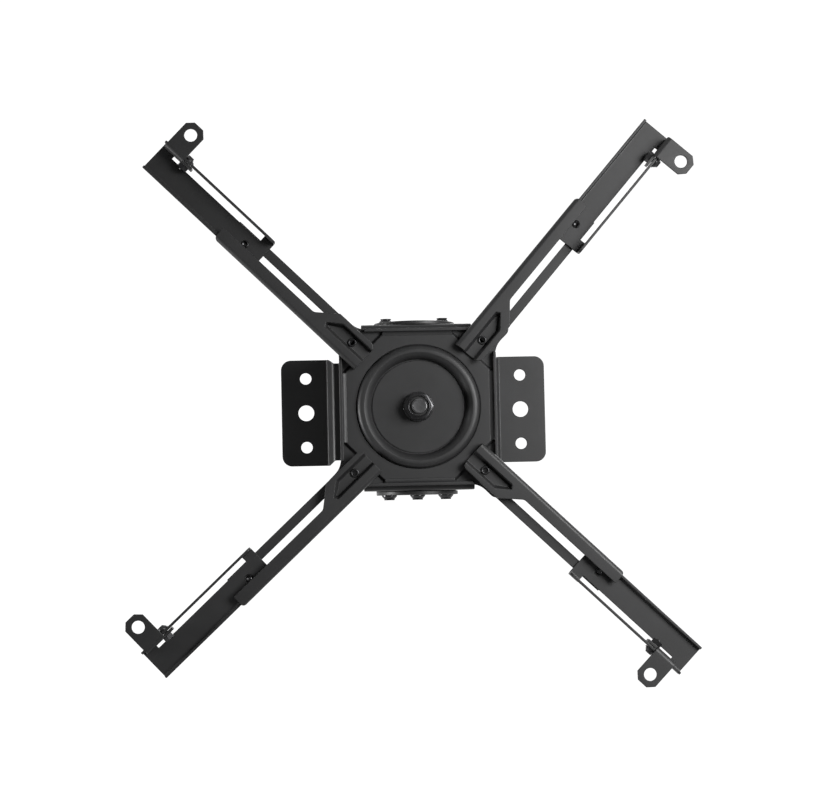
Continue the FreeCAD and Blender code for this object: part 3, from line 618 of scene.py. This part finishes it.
clampSpots = [(side, x) for side in (-1, 1) for x in (-tiltPlaces["reach"], tiltPlaces["reach"])]
pivotSpots = [(1, 0), (-1, 0)]
nutInset = tiltPlaces["wall"] + tiltPlaces["washer"]
for words, spots in (("clamp", clampSpots), ("pivot", pivotSpots)):
    grown("tilt_" + words + "_washers_turned", washerTree, tiltWasher, onCheeks(spots, tiltPlaces["wall"], False),
          "black_screws", "cradle", "tilt_" + words + "_washers")
    grown("tilt_" + words + "_nuts_turned", nutTree, tiltNut, onCheeks(spots, nutInset, False),
          "black_screws", "cradle", "tilt_" + words + "_nuts")
grown("tilt_nut_rings", ringTree, tiltRing, onCheeks(clampSpots + pivotSpots, nutInset, False), "friction_nylon",
      "cradle")
grown("tilt_clamp_bolts_threaded", screwTree, tiltBolt, onCheeks(clampSpots, 0, True), "black_screws", "cradle",
      "tilt_clamp_bolts")
grown("tilt_pivot_bolt_threaded", screwTree, tiltBolt, onCheeks(pivotSpots[:1], 0, True), "black_screws",
      "cradle", "tilt_pivot_bolt")
print("tilt screws, washers and nuts made")

# tubular corner rivets: low head on the ear, rolled rim in the arm's pocket
rivetSizes = {
    "Head Top": 1.2, "Head Run": 3.2, "Head Round": 3.0, "Head Radius": 5.5, "Rim": 0.25, "Shank": 2.5,
    "Pocket": -6.7, "Flare": 3.0, "Flare Tip": -7.7, "Flare Round": 0.6, "Mouth": 1.5, "Mouth Round": 0.5,
    "Mouth Floor": -4.9, "Steps": 48,
}
rivetTree = turnedTree("tubularRivet", [key for key in rivetSizes if key != "Steps"], [
    ("", "Head Top", "", "", 0),
    ("Head Radius - Head Run", "Head Top", "Head Round", "", 0),
    ("Head Radius", "Rim", "", "", 0),
    ("Head Radius", "", "", "", 0),
    ("Shank", "", "", "", 0),
    ("Shank", "Pocket", "", "", 0),
    ("Flare", "Pocket", "", "", 0),
    ("Flare", "Flare Tip", "Flare Round", "", 0),
    ("Mouth", "Flare Tip", "Mouth Round", "", 0),
    ("Mouth", "Mouth Floor", "", "", 0),
    ("", "Mouth Floor", "", "", 0),
])

slideScrew = {
    "Socket": 3.0, "Socket Floor": 1.1, "Head Top": 2.8, "Dome Run": 2.2, "Dome Round": 2.6, "Head Radius": 4.6,
    "Rim": 0.6, "Rim Round": 0.3, "Shank": 2.0, "Thread Radius": 2.5, "Thread Depth": 0.42, "Pitch": 0.8,
    "Tip Chamfer": 0.55, "Thread Start": 0.1, "Thread End": -6.0, "Cup": 2.2, "Steps": 36,
}
slideWasher = {"Bore": 2.7, "Radius": 6.0, "Height": 1.2, "Edge Round": 0.2, "Steps": 48}
lugBolt = {
    "Socket": 2.5, "Socket Floor": 1.0, "Head Top": 2.6, "Dome Run": 1.8, "Dome Round": 2.2, "Head Radius": 3.8,
    "Rim": 0.5, "Rim Round": 0.25, "Shank": 1.6, "Thread Radius": 2.0, "Thread Depth": 0.35, "Pitch": 0.7,
    "Tip Chamfer": 0.5, "Thread Start": 0.1, "Thread End": -8.6, "Cup": 0.3, "Steps": 32,
}
lugWasher = {"Bore": 2.2, "Radius": 4.5, "Height": 0.8, "Edge Round": 0.15, "Steps": 48}
lugNut = {"Bore": 2.05, "Flats": 7.0, "Height": 3.2, "Chamfer": 0.7, "Face": 3.25, "Steps": 48}
plainNutTree = turnedTree("plainNut", ["Bore", "Flats", "Height", "Chamfer", "Face"], [
    ("Bore", "", "", "", 0),
    ("Face", "", "", "Flats", 6),
    ("Flats", "Chamfer", "", "Flats", 0),
    ("Flats", "Height - Chamfer", "", "Flats", 6),
    ("Face", "Height", "", "Flats", 0),
    ("Bore", "Height", "", "", 0),
    ("Bore", "", "", "", 0),
])

# heights of the arm hardware, and where the lug's washer and screw head sit from the middle of its nut
armPlaces = {"rivet": -0.0685, "screw": -0.0693, "slideWasher": -0.0705, "lugNut": 0.0016, "lugWasher": 0.0056,
             "lugBolt": 0.0064}


def middleOf(nodeName):
    low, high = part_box(nodeName)
    return (low + high) / 2


for arm in arms:
    along = Vector(jointOf[arm + "_extension"]["axis"])
    side = Vector((-along.y, along.x, 0))
    rivetAt = middleOf("corner_rivet_" + arm)
    screwAt = middleOf("slide_washer_" + arm)
    nutAt = middleOf("lug_nut_" + arm)
    innerBody, outerBody, lugBody = "inner_" + arm, "outer_" + arm, "lug_" + arm + "_set"
    grown("corner_rivet_rolled_" + arm, rivetTree, rivetSizes, [((rivetAt.x, rivetAt.y, armPlaces["rivet"]), up)],
          "black_screws", innerBody, "corner_rivet_" + arm)
    grown("slide_screw_threaded_" + arm, screwTree, slideScrew,
          [((screwAt.x, screwAt.y, armPlaces["screw"]), up)], "black_screws", outerBody, "slide_screw_" + arm)
    grown("slide_washer_turned_" + arm, washerTree, slideWasher,
          [((screwAt.x, screwAt.y, armPlaces["slideWasher"]), up)], "black_screws", outerBody,
          "slide_washer_" + arm)
    grown("lug_bolt_threaded_" + arm, screwTree, lugBolt, [(nutAt + side * armPlaces["lugBolt"], side)],
          "black_screws", lugBody, "lug_bolt_" + arm)
    grown("lug_washer_turned_" + arm, washerTree, lugWasher, [(nutAt + side * armPlaces["lugWasher"], side)],
          "black_screws", lugBody, "lug_washer_" + arm)
    grown("lug_nut_turned_" + arm, plainNutTree, lugNut, [(nutAt + side * armPlaces["lugNut"], -side)],
          "black_screws", lugBody, "lug_nut_" + arm)
print("arm rivets, screws and nuts made")

# white ceiling behind the mount, pale floor far below it and soft light from the right
room = {
    "floorDrop": 2.6,
    "backdropRise": 2.6,
    "halfSize": 9.0,
    "colour": (0.80, 0.80, 0.80, 1),
    "floorSeen": 0.35,  # how pale the camera and the gloss see the floor
    "ceilingSeen": 1.0,
    "ambient": 0.01,
}


def paint(name, paleness):
    # pale paint that takes light and shadow, and that the camera and the gloss of the mount see paler
    material = bpy.data.materials.new(name)
    material.use_nodes = True
    tree = material.node_tree
    tree.nodes.clear()
    matte = step(tree, "ShaderNodeBsdfDiffuse", {"Color": room["colour"]})
    glow = step(tree, "ShaderNodeEmission", {"Strength": calc(tree, "MULTIPLY", lightSeen(tree), paleness)})
    both = step(tree, "ShaderNodeAddShader", {0: matte.outputs[0], 1: glow.outputs[0]})
    step(tree, "ShaderNodeOutputMaterial", {"Surface": both.outputs[0]})
    return material


def lightSeen(tree):
    # 1 for what the camera, gloss and glass see directly
    rays = step(tree, "ShaderNodeLightPath").outputs
    seen = calc(tree, "MAXIMUM", rays["Is Camera Ray"], rays["Is Glossy Ray"])
    return calc(tree, "MAXIMUM", seen, rays["Is Transmission Ray"])


def roomPlane(name, height, paleness):
    half = room["halfSize"]
    corners = [(-half, -half, height), (half, -half, height), (half, half, height), (-half, half, height)]
    mesh = bpy.data.meshes.new(name)
    mesh.from_pydata(corners, [], [(0, 1, 2, 3)])
    mesh.materials.append(paint(name + "Paint", paleness))
    plane = bpy.data.objects.new(name, mesh)
    bpy.context.scene.collection.objects.link(plane)


roomPlane("roomFloor", -room["floorDrop"], room["floorSeen"])
roomPlane("roomBackdrop", room["backdropRise"], room["ceilingSeen"])

world = bpy.data.worlds.new("studio")
bpy.context.scene.world = world
world.use_nodes = True
worldTree = world.node_tree
worldTree.nodes.clear()
strength = step(worldTree, "ShaderNodeMapRange", {
    "Value": lightSeen(worldTree), "To Min": room["ambient"], "To Max": 1.0})
sky = step(worldTree, "ShaderNodeBackground", {"Color": (1, 1, 1, 1), "Strength": strength.outputs["Result"]})
step(worldTree, "ShaderNodeOutputWorld", {"Surface": sky.outputs["Background"]})

lamps = {
    "keyLamp": {"place": (0.60, -0.16, -0.76), "target": (0.20, 0.0, -0.07), "size": 0.5, "watts": 5.6,
                "spread": 100},
    "leftLamp": {"place": (-0.95, 0.10, -0.13), "target": (-0.05, 0, -0.03), "size": 0.25, "watts": 2.6,
                 "spread": 90},
    "backLamp": {"place": (0.6, -0.7, 1.3), "target": (0, 0, -0.07), "size": 1.0, "watts": 16.0, "spread": 180},
}
for name, lamp in lamps.items():
    light = bpy.data.lights.new(name, "AREA")
    light.size = lamp["size"]
    light.energy = lamp["watts"]
    light.spread = math.radians(lamp["spread"])
    holder = bpy.data.objects.new(name, light)
    holder.location = lamp["place"]
    holder.rotation_euler = (Vector(lamp["target"]) - Vector(lamp["place"])).to_track_quat("-Z", "Y").to_euler()
    bpy.context.scene.collection.objects.link(holder)

photoCamera = {
    "place": (-0.07209, 0.06561, -1.55619),
    "turn": (-177.0873, 2.5996, 1.2340),  # degrees, looking up at the ceiling
    "lens": 96.90,
}
cameraData = bpy.data.cameras.new("photoCamera")
cameraData.sensor_width = 36.0
cameraData.lens = photoCamera["lens"]
cameraData.clip_end = 50.0
camera = bpy.data.objects.new("photoCamera", cameraData)
camera.location = photoCamera["place"]
camera.rotation_euler = Euler([math.radians(angle) for angle in photoCamera["turn"]], "XYZ")
bpy.context.scene.collection.objects.link(camera)
bpy.context.scene.camera = camera
bpy.context.scene.view_settings.view_transform = "Standard"
print("room, lamps and camera ready")
